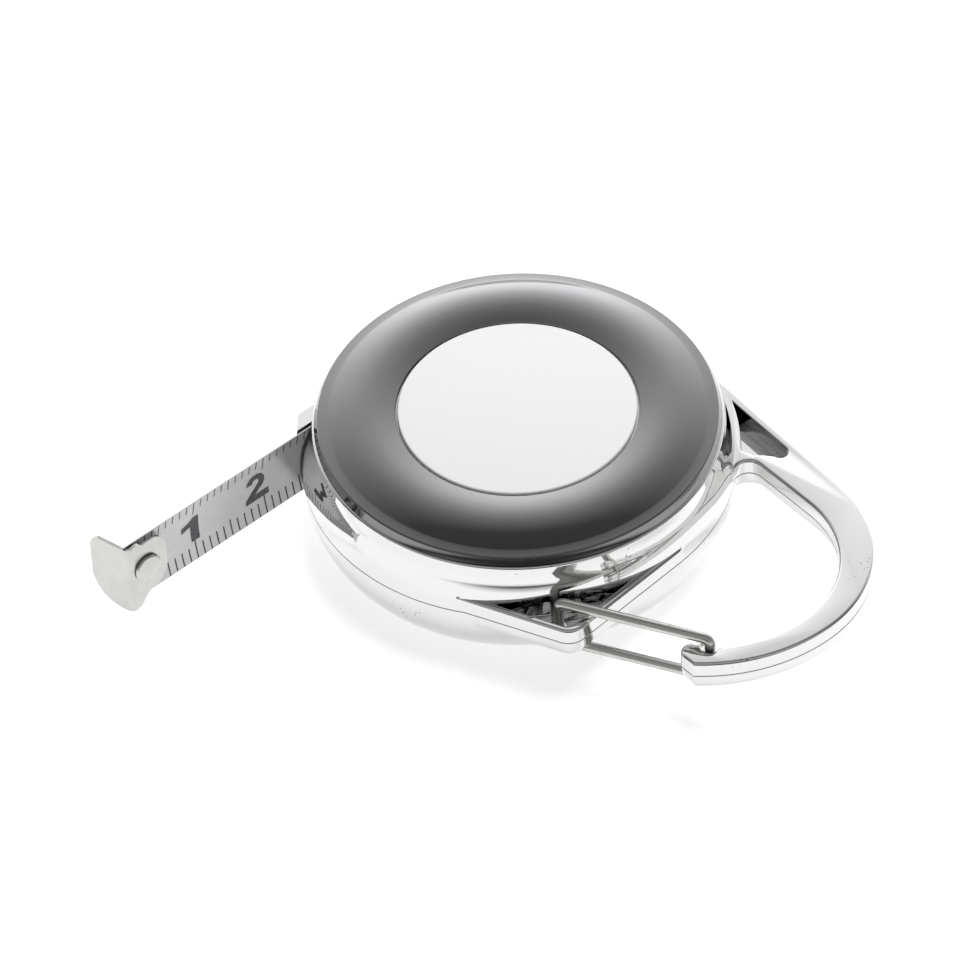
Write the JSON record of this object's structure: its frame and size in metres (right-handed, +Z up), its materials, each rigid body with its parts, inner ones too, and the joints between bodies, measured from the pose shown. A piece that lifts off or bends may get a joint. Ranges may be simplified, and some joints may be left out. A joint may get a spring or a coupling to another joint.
{
  "type": "key-ring tape measure",
  "caption": "Round chromed pocket tape measure with a release disc on top, a steel tape with an end hook, and a carabiner loop with a sprung wire gate.",
  "frame": {"origin": "centre of the case's flat underside, on the axis of the case and reel", "axes": "+Z up through the release disc, +X out to the carabiner's loop; the tape leaves towards -Y, beside the -X side"},
  "size_m": [0.071, 0.0658, 0.0169],
  "materials": {
    "chrome": "bright plating, mirror polish",
    "black_chrome": "black nickel plating, smoky mirror",
    "white_plastic": "white, smooth satin",
    "reel_plastic": "grey, moulded",
    "spring_steel": "blued strip and wire",
    "tape_steel": "silver lacquer with a printed scale",
    "nickel": "nickel plated",
    "rubber": "black, matt"
  },
  "bodies": {
    "case": {"lower_case": "chrome", "upper_case": "chrome", "mouth_guide": "chrome", "trim_ring": "black_chrome", "brake_ring": "rubber", "centre_post": "spring_steel", "reel_spring": "spring_steel", "case_screw_1": "spring_steel", "case_screw_2": "spring_steel", "case_screw_3": "spring_steel"},
    "button": {"release_button": "white_plastic"},
    "reel": {"reel": "reel_plastic", "reel_cover": "reel_plastic", "mainspring": "spring_steel", "tape_coil": "tape_steel", "reel_washer": "spring_steel"},
    "tape": {"tape_blade": "tape_steel", "end_hook": "nickel", "hook_rivet": "nickel"},
    "gate": {"gate_wire": "nickel"}
  },
  "joints": [
    {"name": "button_press", "type": "slide", "parent": "case", "child": "button", "axis": [0, 0, -1], "range_m": [0, 0.0006], "stiffness_N_per_m": 5000, "springref_m": -0.0005, "deforming": ["reel_spring"]},
    {"name": "reel_spin", "type": "hinge", "parent": "button", "child": "reel", "pos_m": [0, 0, 0.009], "axis": [0, 0, 1], "range_deg": [-70, 29.5]},
    {"name": "tape_slide", "type": "slide", "parent": "case", "child": "tape", "axis": [-0.1644, -0.9864, 0], "range_m": [-0.019, 0.008]},
    {"name": "gate_swing", "type": "hinge", "parent": "case", "child": "gate", "pos_m": [0.01885, -0.01685, 0.0085], "axis": [0, 0, 1], "range_deg": [0, 38], "stiffness_Nm_per_rad": 0.006, "springref_deg": -5.73}
  ],
  "couplings": [
    {"joint": "tape_slide", "follows": "reel_spin", "m_per_rad": 0.0155}
  ]
}
